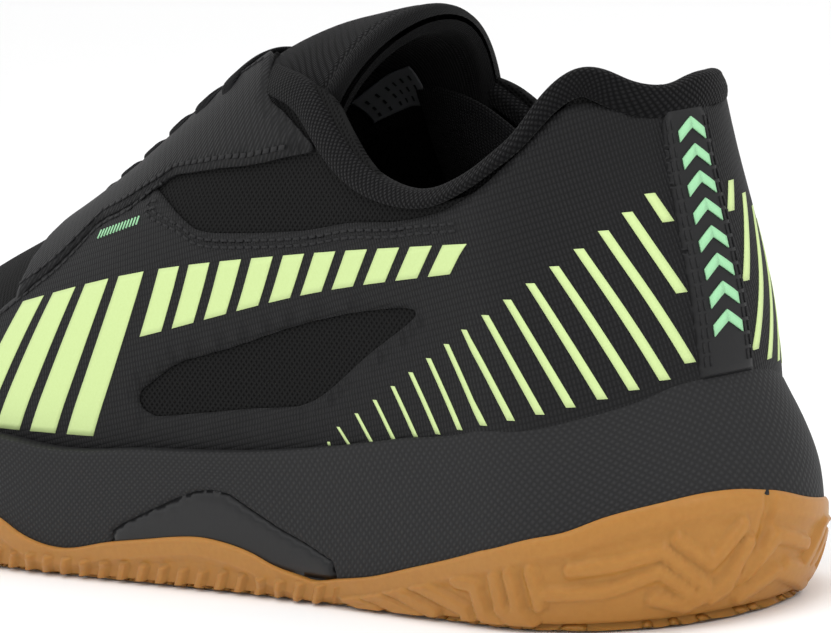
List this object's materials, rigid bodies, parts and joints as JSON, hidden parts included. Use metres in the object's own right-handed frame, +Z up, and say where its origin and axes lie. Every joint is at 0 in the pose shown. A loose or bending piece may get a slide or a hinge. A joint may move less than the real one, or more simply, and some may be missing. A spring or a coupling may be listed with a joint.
{
  "type": "court shoe",
  "caption": "Low-cut left indoor court shoe: mesh upper with welded overlays, padded collar and tongue, laces, foam midsole and gum rubber outsole with herringbone tread.",
  "frame": {"origin": "middle of the shoe's footprint, on the ground", "axes": "+X to the toe, +Y to the outer (lateral) side of this left shoe, +Z up"},
  "size_m": [0.2991, 0.1123, 0.1245],
  "materials": {
    "gum_rubber": "moulded gum rubber, satin",
    "black_foam": "moulded EVA foam, matt",
    "shank_tpu": "moulded TPU, smooth",
    "board": "nonwoven board",
    "sockliner_fabric": "knit over foam",
    "stiffener": "thermoplastic sheet",
    "soft_foam": "open-cell foam",
    "lining_knit": "spacer knit",
    "black_mesh": "air mesh",
    "overlay_synthetic": "embossed synthetic, satin",
    "label_film": "printed satin label",
    "lace_webbing": "flat woven polyester"
  },
  "bodies": {
    "root": {"outsole": "gum_rubber", "midsole": "black_foam", "arch_shank": "shank_tpu", "strobel_board": "board", "heel_counter": "stiffener", "toe_puff": "stiffener", "collar_foam": "soft_foam", "collar_lining": "lining_knit", "collar_binding": "lining_knit", "quarter_mesh_lateral": "black_mesh", "quarter_mesh_medial": "black_mesh", "vamp_mesh": "black_mesh", "quarter_overlay_lateral": "overlay_synthetic", "quarter_overlay_medial": "overlay_synthetic", "eyestay_lateral": "overlay_synthetic", "eyestay_medial": "overlay_synthetic", "toe_overlay": "overlay_synthetic", "heel_strip": "overlay_synthetic", "tongue": "black_mesh", "laces_under": "lace_webbing", "laces_over": "lace_webbing"},
    "sockliner": {"sockliner": "sockliner_fabric"},
    "tongue_flap": {"tongue_flap": "black_mesh", "tongue_label": "label_film"}
  },
  "joints": [
    {"name": "tongue_fold", "type": "hinge", "parent": "root", "child": "tongue_flap", "pos_m": [-0.0185, 0, 0.1142], "axis": [0, 1, 0], "range_deg": [-6, 70], "stiffness_Nm_per_rad": 0.05},
    {"name": "sockliner_lift", "type": "hinge", "parent": "root", "child": "sockliner", "pos_m": [0.1405, 0, 0.0215], "axis": [0, 1, 0], "range_deg": [0, 6]}
  ]
}
